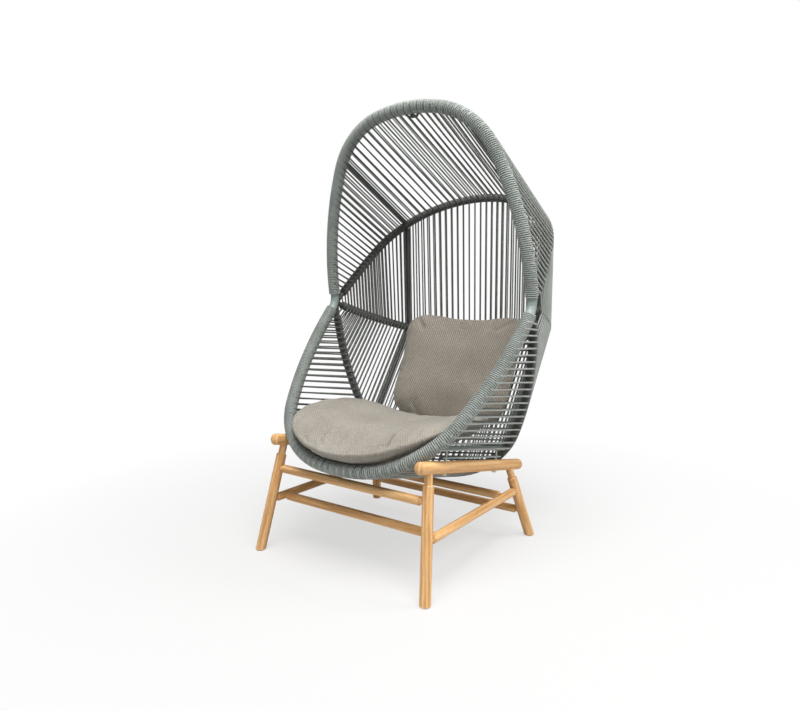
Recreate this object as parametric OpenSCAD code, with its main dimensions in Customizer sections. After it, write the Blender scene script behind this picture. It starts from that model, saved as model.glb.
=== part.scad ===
// Hooded lounge chair: a basket of bent metal hoops, wrapped and strung with rope,
// on a turned teak base, with a seat cushion and a back cushion that lift out.
// The chair stands on z = 0 and faces -Y. The plane x = 0 is its plane of symmetry.
// Every hoop is flat and starts at the two side joints, so its shape is drawn in its own
// plane, as a distance out from the line between the joints, and tilted about that line.

/* [Side joints] */
// Half the distance between the two side joints
joint_half = 419; // [405:1:430]
// Height of the side joints above the floor
joint_z = 822; // [815:1:850]
// Straight start of each hoop at a side joint
hoop_stub = 30; // [28:1:36]

/* [Hood hoop] */
// Tilt of the hood hoop from upright, towards the rear
hood_tilt = -8.6; // [-14:0.1:-4]
// Bend radius of its sides
hood_side_r = 1120; // [1050:5:1250]
// Turn of each side
hood_side_turn = 24.4; // [22:0.1:26]
// Bend radius of its shoulders
hood_corner_r = 280; // [250:5:310]
// Turn of each shoulder
hood_corner_turn = 53; // [48:0.5:57]

/* [Upper back hoop] */
// Tilt of the upper back hoop from upright, towards the rear
upper_tilt = 45.4; // [42:0.1:50]
// Lean of its ends towards the middle of the chair
upper_lean = 5; // [3:0.1:7]
// Bend radius of its sides
upper_side_r = 2200; // [1900:10:2500]
// Turn of each side
upper_side_turn = 6.9; // [6:0.1:8]
// Bend radius of its corners
upper_corner_r = 355; // [330:5:380]
// Turn of each corner
upper_corner_turn = 49.9; // [46:0.1:54]

/* [Belt hoop] */
// Tilt of the belt hoop from upright, towards the rear
belt_tilt = 109.1; // [105:0.1:113]
// Lean of its ends towards the middle of the chair
belt_lean = 4; // [2:0.1:6]
// Bend radius of its sides
belt_side_r = 680; // [640:5:720]
// Turn of each side
belt_side_turn = 21.7; // [20:0.1:24]
// Bend radius of its corners
belt_corner_r = 240; // [220:5:260]
// Turn of each corner
belt_corner_turn = 40.2; // [37:0.1:44]

/* [Seat hoop] */
// Tilt of the seat hoop from upright, towards the rear
seat_tilt = 171.8; // [169:0.1:175]
// Bend radius of its sides
seat_side_r = 1000; // [970:5:1030]
// Turn of each side
seat_side_turn = 24; // [23:0.1:25]
// Bend radius of its corners
seat_corner_r = 280; // [260:5:300]
// Turn of each corner
seat_corner_turn = 18; // [16:0.1:20]

/* [Seat rim hoop] */
// Tilt of the seat rim hoop from upright, towards the rear
rim_tilt = -136.2; // [-139:0.1:-133]
// Bend radius of its sides
rim_side_r = 1270; // [1220:5:1320]
// Turn of each side
rim_side_turn = 19.9; // [19:0.1:21]
// Bend radius of its corners
rim_corner_r = 320; // [300:5:340]
// Turn of each corner
rim_corner_turn = 61; // [58:0.5:64]

/* [Basket tubes] */
// Diameter of the tube of the hood hoop and the seat rim hoop
front_tube_d = 32; // [30:0.5:34]
// Diameter of the tube of the three hoops behind them
back_tube_d = 20; // [18:0.5:21]
// Diameter of the struts between the hoops
strut_d = 16; // [12:0.5:18]
// Distance of the struts from the chair's middle plane
strut_half = 300; // [285:1:310]
// Gap left where a welded or wound piece meets its neighbour
seat_gap = 0.3; // [0.1:0.1:0.5]
// Gap left where two lengths of one tube meet end to end
butt_gap = 0.02; // [0.01:0.01:0.1]

/* [Crown plate] */
// Width of the plate under the crown of the hood
plate_w = 60; // [50:1:70]
// Reach of the plate from the centre line of the hood tube
plate_reach = 52; // [48:1:60]
// Thickness of the plate
plate_t = 3; // [2:0.5:5]
// Diameter of its two holes
plate_hole_d = 9; // [6:0.5:11]
// Distance between the two holes
plate_hole_pitch = 26; // [20:1:30]
// Distance of the holes from the centre line of the hood tube
plate_hole_reach = 36; // [32:1:40]

/* [Rope] */
// Diameter of the rope
rope_d = 6; // [4:0.25:7]
// Distance from a side joint to the first turn on the two middle back hoops
back_wrap_from = 48; // [42:1:52]
// Distance from a side joint to the first turn on the belt hoop
belt_wrap_from = 34; // [32:1:40]
// Distance from a side joint to where the strung ropes begin
string_from = 48; // [46:1:70]
// Outer ropes in a panel from a side joint to a strut
side_ropes = 20; // [14:1:22]
// Outer ropes in a panel from a strut to the middle of the chair
middle_ropes = 13; // [9:1:14]
// How far the seat's side ropes fan out on the seat hoop, where 1 is an even spacing
seat_rope_fan = 1.15; // [1:0.05:1.3]
// Outer ropes left out inside each side seat tube, where the rail and its strap are
seat_ropes_left_out = 2; // [2:1:3]

/* [Rails] */
// Diameter of the two teak rails
rail_d = 38; // [34:0.5:40]
// Distance of the rails from the chair's middle plane
rail_half = 295.5; // [292:0.5:300]
// Distance from the side seat tubes down to the rails, between centre lines
rail_drop = 57.5; // [48:0.1:60]
// Reach of a rail ahead of its side seat tube
rail_front_reach = 71; // [60:1:85]
// Reach of a rail behind its side seat tube
rail_rear_reach = 113; // [95:1:130]
// Radius of the domed ends of the rails
rail_dome_r = 26; // [23:0.5:40]

/* [Rail fasteners] */
// Diameter of the studs that hold the basket to the rails
stud_d = 8; // [6:0.5:10]
// Distance of each stud from the end of its side seat tube
stud_inset = 70; // [60:1:90]
// Distance from the top of a rail to the strap above it
strap_lift = 8; // [4:0.5:10]
// Thickness of the strap
strap_t = 4; // [2:0.5:5]
// Width of the strap
strap_w = 16; // [14:0.5:20]
// Length of the strap past each stud
strap_over = 25; // [12:1:30]
// Diameter of the nuts under a rail
nut_d = 15; // [13:0.5:18]
// Height of the nuts
nut_h = 7; // [5:0.5:9]
// Depth of the flat seat that each nut has in the rail
nut_seat = 2; // [1.6:0.1:4]
// Clearance around a stud or a tenon in its hole
fit = 0.15; // [0.1:0.05:0.3]

/* [Legs] */
// Diameter of the legs
leg_d = 34; // [31:0.5:36]
// Diameter of the neck of a leg, under the rail
leg_neck_d = 25; // [22:0.5:27]
// Length of the neck between the rail and the leg's shoulder
leg_neck = 26; // [16:1:32]
// Radius of the rounded shoulders of the legs
leg_dome_r = 22; // [19:0.5:30]
// Distance of the front feet from the chair's middle plane
front_foot_half = 339; // [325:1:350]
// Distance of the front feet ahead of the side joints
front_foot_ahead = 492; // [470:1:510]
// Distance of the front legs ahead of the side seat tubes, on the rail
front_leg_ahead = 16; // [8:1:30]
// Distance of the rear feet from the chair's middle plane
rear_foot_half = 348; // [330:1:360]
// Distance of the rear feet behind the side joints
rear_foot_behind = 160; // [150:1:180]
// Distance of the rear legs behind the side seat tubes, on the rail
rear_leg_behind = 30; // [20:1:45]
// Diameter of the glides under the feet
glide_d = 26; // [20:1:28]
// Height of the glides
glide_h = 3; // [2:0.5:5]

/* [Stretchers and cross rails] */
// Diameter of the stretchers and the cross rails
bar_d = 28; // [25:0.5:30]
// Diameter of their tenons
bar_tenon_d = 18; // [14:0.5:20]
// Radius of their rounded shoulders
bar_dome_r = 18; // [16:0.5:24]
// Length of tenon that shows beside the piece it enters
bar_neck = 4; // [2:0.5:8]
// Distance left between the end of a tenon and the centre line of what it enters
tenon_stop = 5; // [4:0.5:7]
// Height of the side stretchers
stretcher_z = 171; // [160:1:190]
// Height of the upper cross rail at the front
front_upper_z = 278; // [255:1:285]
// Distance of the lower cross rail ahead of the side joints
front_lower_ahead = 396; // [370:1:405]
// Distance of the middle cross rail behind the side joints
middle_cross_behind = 30; // [-40:1:45]
// Height of the cross rail between the rear legs
rear_cross_z = 95; // [80:1:110]

/* [Seat cushion] */
// Half the width of the seat cushion
seat_cushion_half_w = 312; // [300:1:320]
// Half the depth of the seat cushion
seat_cushion_half_d = 304.5; // [300:0.5:308]
// Thickness of the seat cushion at its crown
seat_cushion_t = 100.8; // [90:0.1:115]
// Distance of its centre ahead of the side joints
seat_cushion_ahead = 199; // [195:0.5:210]
// Height of its centre
seat_cushion_z = 382; // [379:0.1:392]
// Tip of the seat cushion, front edge up
seat_cushion_tip = 1.3; // [0:0.1:7]
// How far its two sides curl up
seat_cushion_curl = 83; // [75:1:95]
// How square its outline is, where 1 is an ellipse and less is squarer
seat_cushion_square = 0.88; // [0.6:0.01:1]
// How far its corners stand out
seat_cushion_ear = 0.04; // [0:0.005:0.1]

/* [Back cushion] */
// Half the width of the back cushion
back_cushion_half_w = 255.5; // [240:0.5:265]
// Height of the back cushion along its slope
back_cushion_h = 428; // [420:1:475]
// Thickness of the back cushion at its crown
back_cushion_t = 106.4; // [80:0.1:135]
// Distance of its centre behind the side joints
back_cushion_behind = 237.4; // [200:0.1:245]
// Height of its centre
back_cushion_z = 559.4; // [540:0.1:575]
// Recline of the back cushion from upright
back_cushion_recline = 26; // [17:0.5:28]
// How far its two sides curl forward
back_cushion_curl = 31; // [20:1:50]
// How square its outline is, where 1 is an ellipse and less is squarer
back_cushion_square = 0.72; // [0.5:0.01:1]
// How far its upper corners stand out
back_cushion_ear = 0.167; // [0:0.001:0.2]

/* [Cushion make] */
// Thickness of a cushion's cover
cover_t = 2; // [1.5:0.25:4]
// Space between a cover and the filling inside it
core_gap = 1; // [0.5:0.1:2]

/* [Hidden] */
$fn = 64;
// Places of the values in a hoop's list
TILT = 0;
LEAN = 1;
SIDE_R = 2;
SIDE_TURN = 3;
CORNER_R = 4;
CORNER_TURN = 5;
TUBE_R = 6;

hood = [hood_tilt, 0, hood_side_r, hood_side_turn, hood_corner_r, hood_corner_turn,
        front_tube_d / 2];
upper = [upper_tilt, upper_lean, upper_side_r, upper_side_turn, upper_corner_r,
         upper_corner_turn, back_tube_d / 2];
belt = [belt_tilt, belt_lean, belt_side_r, belt_side_turn, belt_corner_r,
        belt_corner_turn, back_tube_d / 2];
seat = [seat_tilt, 0, seat_side_r, seat_side_turn, seat_corner_r, seat_corner_turn,
        back_tube_d / 2];
rim = [rim_tilt, 0, rim_side_r, rim_side_turn, rim_corner_r, rim_corner_turn,
       front_tube_d / 2];

// An arc of a hoop is [start point, radius, start angle, turn, distance from the joint]
function arc_centre(g) = g[0] - g[1] * [cos(g[2]), sin(g[2])];
function arc_point(g, turn) = arc_centre(g) + g[1] * [cos(g[2] + turn), sin(g[2] + turn)];
function arc_end(g) = g[4] + g[1] * g[3] * PI / 180;
function next_arc(g, r, turn) = [arc_point(g, g[3]), r, g[2] + g[3], turn, arc_end(g)];
function side_arc(h) =
    [[joint_half - hoop_stub * sin(h[LEAN]), hoop_stub * cos(h[LEAN])],
     h[SIDE_R], h[LEAN], h[SIDE_TURN], hoop_stub];
function corner_arc(h) = next_arc(side_arc(h), h[CORNER_R], h[CORNER_TURN]);
// The crown's radius follows from where the corner ends, so that the two halves meet
function crown_arc(h) =
    let (g = corner_arc(h), heading = g[2] + g[3])
    next_arc(g, arc_point(g, g[3]).x / cos(heading), 90 - heading);
function arcs(h) = [side_arc(h), corner_arc(h), crown_arc(h)];
function half_length(h) = arc_end(crown_arc(h));
function depth(h) = arc_point(crown_arc(h), crown_arc(h)[3]).y;

// Place and heading on a hoop, at a distance from the side joint: [x, out, heading]
function on_arc(g, s) =
    let (turn = (s - g[4]) / g[1] * 180 / PI, p = arc_point(g, turn))
    [p.x, p.y, g[2] + turn];
function on_hoop(h, s) =
    s < hoop_stub ? [joint_half - s * sin(h[LEAN]), s * cos(h[LEAN]), h[LEAN]] :
    s < arc_end(side_arc(h)) ? on_arc(side_arc(h), s) :
    s < arc_end(corner_arc(h)) ? on_arc(corner_arc(h), s) : on_arc(crown_arc(h), s);
// Distance from the side joint at which a hoop passes a given x
function distance_at(h, x) =
    let (past = [for (g = arcs(h)) if (arc_point(g, g[3]).x <= x) g], g = past[0])
    g[4] + g[1] * (acos((x - arc_centre(g).x) / g[1]) - g[2]) * PI / 180;
// The same place in the chair's frame, taken from the line between the side joints
function from_joint(h, s) =
    let (p = on_hoop(h, s))
    [p.x, p.y * sin(h[TILT]), p.y * cos(h[TILT])];
function point_on(h, s) = from_joint(h, s) + [0, joint_y, joint_z];
function heading_on(h, s) =
    let (a = on_hoop(h, s)[2])
    [-sin(a), cos(a) * sin(h[TILT]), cos(a) * cos(h[TILT])];
function wrap_r(h) = h[TUBE_R] + rope_d;

// The elbow that joins the hood hoop and the seat rim hoop uses up both their stubs
elbow_tilt = (hood_tilt + rim_tilt) / 2;
elbow_half_turn = 90 - (hood_tilt - rim_tilt) / 2;
elbow_r = hoop_stub / tan(elbow_half_turn);
elbow_out = elbow_r / cos(elbow_half_turn);

// Ends of the side seat tubes, from the line between the side joints
tube_front = from_joint(rim, distance_at(rim, rail_half));
tube_rear = from_joint(seat, distance_at(seat, rail_half));
tube_length = norm(tube_rear - tube_front);
rail_slope = atan2(tube_front.z - tube_rear.z, tube_rear.y - tube_front.y);
// A place beside a side seat tube: along it from its front end, and up from its centre
function beside_tube(along, up) =
    tube_front + [0, along * cos(rail_slope) + up * sin(rail_slope),
                  up * cos(rail_slope) - along * sin(rail_slope)];

// The legs run from the feet to the centre lines of the rails
front_top = beside_tube(-front_leg_ahead, -rail_drop) + [0, 0, joint_z];
rear_top = beside_tube(tube_length + rear_leg_behind, -rail_drop) + [0, 0, joint_z];
front_foot = [front_foot_half, -front_foot_ahead, 0];
rear_foot = [rear_foot_half, rear_foot_behind, 0];
front_rake = (front_top.y - front_foot.y) / front_top.z;
front_foot_reach = front_foot_ahead + leg_d / 2 * sqrt(1 + pow(front_rake, 2))
                   - glide_h * front_rake;
front_reach = max(front_foot_reach, wrap_r(rim) - depth(rim) * sin(rim_tilt));
rear_reach = max(depth(upper) * sin(upper_tilt), depth(belt) * sin(belt_tilt))
             + wrap_r(belt);
// The side joints lie where the whole chair is centred on y = 0
joint_y = (front_reach - rear_reach) / 2;
joint = [0, joint_y, joint_z];

function on_line(a, b, z) = a + (b - a) * (z - a.z) / (b.z - a.z);
function on_front_leg(z) = on_line(front_foot, front_top, z) + [0, joint_y, 0];
function on_rear_leg(z) = on_line(rear_foot, rear_top, z) + [0, joint_y, 0];
stretcher_front = on_front_leg(stretcher_z);
stretcher_rear = on_rear_leg(stretcher_z);
// Place on a side stretcher at a distance behind the side joints
function on_stretcher(behind) =
    stretcher_front + (stretcher_rear - stretcher_front)
    * (joint_y + behind - stretcher_front.y) / (stretcher_rear.y - stretcher_front.y);

rope_color = [0.45, 0.49, 0.47];
tube_color = [0.52, 0.57, 0.55];
dark_color = [0.24, 0.26, 0.25];
teak_color = [0.80, 0.59, 0.36];
steel_color = [0.75, 0.75, 0.74];
glide_color = [0.86, 0.83, 0.76];
cover_color = [0.60, 0.56, 0.52];
core_color = [0.92, 0.91, 0.86];

module on_side(side) {
    mirror([side < 0 ? 1 : 0, 0, 0]) children();
}

module both_sides() {
    for (side = [1, -1]) on_side(side) children();
}

// Turns the z axis to run from a to b
module between(a, b) {
    v = b - a;
    translate(a) rotate([0, acos(v.z / norm(v)), atan2(v.y, v.x)]) children();
}

module rod(a, b, r) {
    between(a, b) cylinder(h = norm(b - a), r = r);
}

module ring_section(r, hole_r) {
    difference() {
        circle(r);
        if (hole_r > 0) circle(hole_r);
    }
}

// A bend about the z axis that starts at the x axis, with half a butt gap at each end
module bend(bend_r, turn, r, hole_r = 0) {
    trim = butt_gap / 2 / bend_r * 180 / PI;
    rotate([0, 0, trim]) rotate_extrude(angle = turn - 2 * trim)
        translate([bend_r, 0]) ring_section(r, hole_r);
}

// The last part of one arc of a hoop, over the given turn
module arc_tube(h, g, turn, r, hole_r) {
    c = arc_centre(g);
    translate(joint) rotate([-h[TILT], 0, 0]) translate([c.x, 0, c.y])
        rotate([90, 0, 0]) rotate([0, 0, g[2] + g[3] - turn]) bend(g[1], turn, r, hole_r);
}

// The crown of a hoop, from one corner to the other
module crown_tube(h, r, hole_r) {
    half = crown_arc(h);
    crown = [half[0], half[1], half[2], 2 * half[3], half[4]];
    arc_tube(h, crown, crown[3], r, hole_r);
}

// The bent part of a hoop, from a given distance along each side
module hoop_bends(h, from, r, hole_r = 0) {
    side = side_arc(h);
    corner = corner_arc(h);
    kept = side[3] - max(0, from - hoop_stub) / side[1] * 180 / PI;
    both_sides() arc_tube(h, side, kept, r, hole_r);
    both_sides() arc_tube(h, corner, corner[3], r, hole_r);
    crown_tube(h, r, hole_r);
}

// The straight starts of a hoop, from a given distance along each side
module stub_ends(h, r, from = 0) {
    both_sides() rod(point_on(h, from), point_on(h, hoop_stub - butt_gap / 2), r);
}

// Half of each side elbow, towards the hood for part = 1 and the seat rim for part = 0
module elbow_halves(part, r) {
    both_sides() translate([joint_half, joint_y, joint_z]) rotate([-elbow_tilt, 0, 0])
        translate([0, 0, elbow_out]) rotate([0, 90, 0])
            rotate([0, 0, (part - 1) * elbow_half_turn]) bend(elbow_r, elbow_half_turn, r);
}

module elbows(r) {
    elbow_halves(0, r);
    elbow_halves(1, r);
}

// How far a piece of radius r stops short of the centre line of a round bar of radius
// bar_r, whose heading is along, so that its flat end stays clear of the bar
function stop_short(dir, along, r, bar_r) =
    (bar_r + seat_gap + r * abs(dir * along)) / norm(cross(dir, along));

// A straight strut between two hoops, at distances s1 and s2 from their side joints
module hoop_strut(h1, s1, h2, s2) {
    a = point_on(h1, s1);
    b = point_on(h2, s2);
    dir = (b - a) / norm(b - a);
    r = strut_d / 2;
    rod(a + dir * stop_short(dir, heading_on(h1, s1), r, h1[TUBE_R]),
        b - dir * stop_short(dir, heading_on(h2, s2), r, h2[TUBE_R]), r);
}

module strut_between(h1, h2, x) {
    hoop_strut(h1, distance_at(h1, x), h2, distance_at(h2, x));
}

// The space that a strut takes up where it runs through the wrapping of a hoop
module strut_space(h1, h2, x) {
    both_sides() rod(point_on(h1, distance_at(h1, x)), point_on(h2, distance_at(h2, x)),
                     strut_d / 2 + seat_gap);
}

// Wrapping of a hoop, as a sleeve one rope thick over its tube
module wrapping(h, from) {
    hoop_bends(h, from, wrap_r(h), h[TUBE_R] + seat_gap);
}

// A strung rope touches the wrapping of both hoops on one side of the panel, which is the
// outer side for face = 1 and the inner side for face = -1
module strung_rope(h1, s1, h2, s2, face) {
    r = rope_d / 2;
    a0 = point_on(h1, s1);
    b0 = point_on(h2, s2);
    n0 = cross(b0 - a0, heading_on(h1, s1) + heading_on(h2, s2));
    outward = n0 / norm(n0) * sign(n0 * ((a0 + b0) / 2 - joint)) * face;
    a = a0 + outward * (h1[TUBE_R] + r);
    b = b0 + outward * (h2[TUBE_R] + r);
    dir = (b - a) / norm(b - a);
    leave1 = leaving(h1, s1, a, dir, outward);
    leave2 = leaving(h2, s2, b, -dir, outward);
    if (norm(b - a) > leave1 + leave2 + rope_d) rod(a + dir * leave1, b - dir * leave2, r);
}

// Distance from a place to the centre line of a hoop, near the distance s along it
function off_hoop(h, s, place) =
    let (v = place - joint, g = s < arc_end(side_arc(h)) ? side_arc(h) :
                                s < arc_end(corner_arc(h)) ? corner_arc(h) : crown_arc(h),
         flat = [v.x, v * [0, sin(h[TILT]), cos(h[TILT])]],
         square = v * [0, -cos(h[TILT]), sin(h[TILT])])
    norm([norm(flat - arc_centre(g)) - g[1], square]);
// Distance from where a rope is tangent to a hoop, at the place start, to where its flat
// end is clear of the wrapping. It is first worked out for a straight hoop, and then taken
// in small steps until every point on the end's edge is clear of the bend.
leave_step = 0.15;
leave_steps = 30;
function leaving(h, s, start, dir, outward) =
    let (r = rope_d / 2, clear = wrap_r(h) + seat_gap, along = heading_on(h, s),
         across = cross(dir, outward), lean = abs(dir * along),
         straight = max([for (a = [90 : 22.5 : 180])
             (r * sin(a) * lean + sqrt(pow(clear, 2) - pow(h[TUBE_R] + r + r * cos(a), 2)))
             / norm(cross(dir, along))]),
         edge = [for (a = [90 : 22.5 : 270]) r * (outward * cos(a) + across * sin(a))])
    [for (k = [0 : leave_steps])
         let (t = straight + k * leave_step)
             if (min([for (p = edge) off_hoop(h, s, start + dir * t + p)]) > clear) t][0];

function between_values(a, b, t) = a + (b - a) * t;

// Ropes of one face, at even steps t from the side joint to the strut and on to the middle.
// The first ropes on the middle's side of the strut can be left out, which makes room for
// what hangs from it.
module string_face(h1, x1, h2, x2, face, offset, fan, left_out) {
    s1 = distance_at(h1, x1);
    s2 = distance_at(h2, x2);
    for (i = [1 : side_ropes]) {
        t = (i - offset) / side_ropes;
        both_sides() strung_rope(h1, between_values(string_from, s1, t),
                                 h2, between_values(string_from, s2, pow(t, fan)), face);
    }
    for (i = [1 + left_out : middle_ropes]) {
        t = (i - offset) / middle_ropes;
        if (t < 1) both_sides() strung_rope(h1, between_values(s1, half_length(h1), t),
                                            h2, between_values(s2, half_length(h2), t), face);
        else strung_rope(h1, half_length(h1), h2, half_length(h2), face);
    }
}

// A panel of ropes between two hoops: the outer ropes, and inner ones half a step along
module string_panel(h1, x1, h2, x2, fan = 1, left_out = 0) {
    string_face(h1, x1, h2, x2, 1, 0.5, fan, left_out);
    string_face(h1, x1, h2, x2, -1, 0, fan, 0);
}

// Round bar of a given length with domed ends
module domed_bar(length, r, dome_r) {
    intersection() {
        cylinder(h = length, r = r);
        union() {
            translate([0, 0, dome_r]) sphere(dome_r);
            translate([0, 0, length - dome_r]) sphere(dome_r);
            translate([0, 0, dome_r]) cylinder(h = length - 2 * dome_r, r = (r + dome_r) / 2);
        }
    }
}

// Turned bar with a tenon at each end, from centre line a to centre line b of two pieces
// of radius host_r
module turned_bar(a, b, host_r) {
    length = norm(b - a);
    shoulder = host_r + bar_neck;
    between(a, b) {
        translate([0, 0, shoulder]) domed_bar(length - 2 * shoulder, bar_d / 2, bar_dome_r);
        translate([0, 0, tenon_stop]) cylinder(h = length - 2 * tenon_stop,
                                               r = bar_tenon_d / 2);
    }
}

// The holes for both tenons of a turned bar
module tenon_holes(a, b, host_r) {
    length = norm(b - a);
    hole_stop = tenon_stop - fit;
    between(a, b) {
        translate([0, 0, hole_stop]) cylinder(h = host_r * 2, r = bar_tenon_d / 2 + fit);
        translate([0, 0, length - hole_stop - host_r * 2])
            cylinder(h = host_r * 2, r = bar_tenon_d / 2 + fit);
    }
}

function mirrored(p) = [-p.x, p.y, p.z];
module across(p, host_r) {
    turned_bar(p, mirrored(p), host_r);
}
module across_holes(p, host_r) {
    tenon_holes(p, mirrored(p), host_r);
}

// Frame of a side seat tube: y runs back along it and z is square to it, upwards
module along_tube() {
    translate(tube_front + joint) rotate([-rail_slope, 0, 0]) children();
}
stud_places = [stud_inset, tube_length - stud_inset];

// A leg and its neck, from the floor to the centre line of the rail
module leg(foot, top) {
    base = foot + [0, joint_y, 0];
    head = top + [0, joint_y, 0];
    length = norm(head - base);
    shoulder = length - rail_d / 2 - leg_neck;
    // The leg starts below the floor and is cut off level on top of its glide. It is turned
    // half round, so that its round faces start on the side away from the tenon holes.
    spare = leg_d;
    difference() {
        between(base, head) rotate([0, 0, 180]) {
            translate([0, 0, -spare]) domed_bar(spare + shoulder, leg_d / 2, leg_dome_r);
            translate([0, 0, shoulder - leg_neck_d])
                cylinder(h = length - tenon_stop - shoulder + leg_neck_d, r = leg_neck_d / 2);
        }
        translate(base + [0, 0, glide_h - 2 * spare])
            cube([4 * spare, 4 * spare, 4 * spare], center = true);
    }
}

module leg_hole(foot, top) {
    base = foot + [0, joint_y, 0];
    head = top + [0, joint_y, 0];
    between(head, base) translate([0, 0, tenon_stop - fit])
        cylinder(h = rail_d, r = leg_neck_d / 2 + fit);
}

// Hoops
module hood_tube() {
    color(tube_color) {
        hoop_bends(hood, 0, front_tube_d / 2);
        elbow_halves(1, front_tube_d / 2);
    }
}

module seat_rim_tube() {
    color(tube_color) {
        hoop_bends(rim, 0, front_tube_d / 2);
        elbow_halves(0, front_tube_d / 2);
    }
}

// A hoop of the back, with its ends shaped to the front tube at the side joints
module back_hoop(h) {
    difference() {
        union() {
            hoop_bends(h, 0, back_tube_d / 2);
            stub_ends(h, back_tube_d / 2, back_tube_d / 2);
        }
        elbows(front_tube_d / 2 + seat_gap);
        children();
    }
}

module upper_back_tube() {
    color(dark_color) back_hoop(upper);
}

module belt_tube() {
    color(dark_color) back_hoop(belt) {
        stub_ends(upper, back_tube_d / 2 + seat_gap);
        stub_ends(seat, back_tube_d / 2 + seat_gap);
    }
}

module seat_hoop_tube() {
    color(dark_color) back_hoop(seat) stub_ends(upper, back_tube_d / 2 + seat_gap);
}

// Struts
module hood_strut(side) {
    color(dark_color) on_side(side) strut_between(hood, upper, strut_half);
}

module back_strut(side) {
    color(dark_color) on_side(side) strut_between(upper, belt, strut_half);
}

module lower_back_strut(side) {
    color(dark_color) on_side(side) strut_between(belt, seat, strut_half);
}

module seat_tube(side) {
    color(tube_color) on_side(side) strut_between(rim, seat, rail_half);
}

// Crown plate, in the plane that runs from the crown of the hood to the upper back hoop
module crown_frame() {
    a = point_on(hood, half_length(hood));
    b = point_on(upper, half_length(upper));
    translate(a) rotate([atan2(b.z - a.z, b.y - a.y), 0, 0]) children();
}

module plate_outline(grow) {
    r = plate_w / 2 + grow;
    translate([0, plate_reach - plate_w / 2]) circle(r);
    translate([-r, 0]) square([2 * r, plate_reach - plate_w / 2]);
}

module crown_plate() {
    color(dark_color) difference() {
        crown_frame() translate([0, 0, -plate_t / 2]) linear_extrude(plate_t)
            plate_outline(0);
        crown_frame() for (side = [1, -1])
            translate([side * plate_hole_pitch / 2, plate_hole_reach, -plate_t])
                cylinder(h = 2 * plate_t, d = plate_hole_d);
        crown_tube(hood, front_tube_d / 2 + seat_gap, 0);
    }
}

// Wrapping
module hood_wrap() {
    color(rope_color) difference() {
        wrapping(hood, hoop_stub);
        strut_space(hood, upper, strut_half);
        crown_frame() translate([0, 0, -plate_t / 2 - seat_gap])
            linear_extrude(plate_t + 2 * seat_gap) plate_outline(seat_gap);
    }
}

module seat_rim_wrap() {
    color(rope_color) difference() {
        wrapping(rim, hoop_stub);
        strut_space(rim, seat, rail_half);
    }
}

module upper_back_wrap() {
    color(rope_color) difference() {
        wrapping(upper, back_wrap_from);
        strut_space(hood, upper, strut_half);
        strut_space(upper, belt, strut_half);
    }
}

module belt_wrap() {
    color(rope_color) difference() {
        wrapping(belt, belt_wrap_from);
        strut_space(upper, belt, strut_half);
        strut_space(belt, seat, strut_half);
    }
}

module seat_hoop_wrap() {
    color(rope_color) difference() {
        wrapping(seat, back_wrap_from);
        strut_space(belt, seat, strut_half);
        strut_space(rim, seat, rail_half);
    }
}

// Strung ropes
module hood_ropes() {
    color(rope_color) string_panel(hood, strut_half, upper, strut_half);
}

module upper_back_ropes() {
    color(rope_color) string_panel(upper, strut_half, belt, strut_half);
}

module lower_back_ropes() {
    color(rope_color) string_panel(belt, strut_half, seat, strut_half);
}

module seat_ropes() {
    color(rope_color) string_panel(rim, rail_half, seat, rail_half, seat_rope_fan,
                                   seat_ropes_left_out);
}

// Rails and what fastens the basket to them
module rail(side) {
    stud_hole_r = stud_d / 2 + fit;
    color(teak_color) on_side(side) difference() {
        along_tube() translate([0, -rail_front_reach, -rail_drop]) rotate([-90, 0, 0])
            domed_bar(rail_front_reach + tube_length + rail_rear_reach, rail_d / 2,
                      rail_dome_r);
        along_tube() for (y = stud_places) {
            translate([0, y, -rail_drop - rail_d]) cylinder(h = 2 * rail_d, r = stud_hole_r);
            translate([0, y, -rail_drop - rail_d * 1.5 + nut_seat])
                cylinder(h = rail_d, d = nut_d + 2);
        }
        leg_hole(front_foot, front_top);
        leg_hole(rear_foot, rear_top);
    }
}

module rail_strap(side) {
    bottom = -rail_drop + rail_d / 2 + strap_lift;
    length = tube_length - 2 * stud_inset + 2 * strap_over;
    color(tube_color) on_side(side) along_tube() difference() {
        translate([-strap_w / 2, stud_inset - strap_over, bottom])
            cube([strap_w, length, strap_t]);
        for (y = stud_places) translate([0, y, bottom - strap_t])
            cylinder(h = 3 * strap_t, r = stud_d / 2 + fit);
    }
}

module rail_studs() {
    top = -strut_d / 2 - seat_gap;
    bottom = -rail_drop - rail_d / 2 + nut_seat - nut_h;
    color(steel_color) both_sides() along_tube() for (y = stud_places)
        translate([0, y, bottom]) cylinder(h = top - bottom, d = stud_d);
}

module rail_nuts() {
    color(glide_color) both_sides() along_tube() for (y = stud_places)
        translate([0, y, -rail_drop - rail_d / 2 + nut_seat - nut_h]) difference() {
            cylinder(h = nut_h, d = nut_d);
            translate([0, 0, -nut_h]) cylinder(h = 3 * nut_h, r = stud_d / 2 + fit);
        }
}

// Legs, stretchers and cross rails
front_upper_end = on_front_leg(front_upper_z);
front_lower_end = on_stretcher(-front_lower_ahead);
middle_cross_end = on_stretcher(middle_cross_behind);
rear_cross_end = on_rear_leg(rear_cross_z);

module front_leg(side) {
    color(teak_color) on_side(side) difference() {
        leg(front_foot, front_top);
        across_holes(front_upper_end, leg_d / 2);
        tenon_holes(stretcher_front, stretcher_rear, leg_d / 2);
    }
}

module rear_leg(side) {
    color(teak_color) on_side(side) difference() {
        leg(rear_foot, rear_top);
        across_holes(rear_cross_end, leg_d / 2);
        tenon_holes(stretcher_front, stretcher_rear, leg_d / 2);
    }
}

module side_stretcher(side) {
    color(teak_color) on_side(side) difference() {
        turned_bar(stretcher_front, stretcher_rear, leg_d / 2);
        across_holes(front_lower_end, bar_d / 2);
        across_holes(middle_cross_end, bar_d / 2);
    }
}

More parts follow.
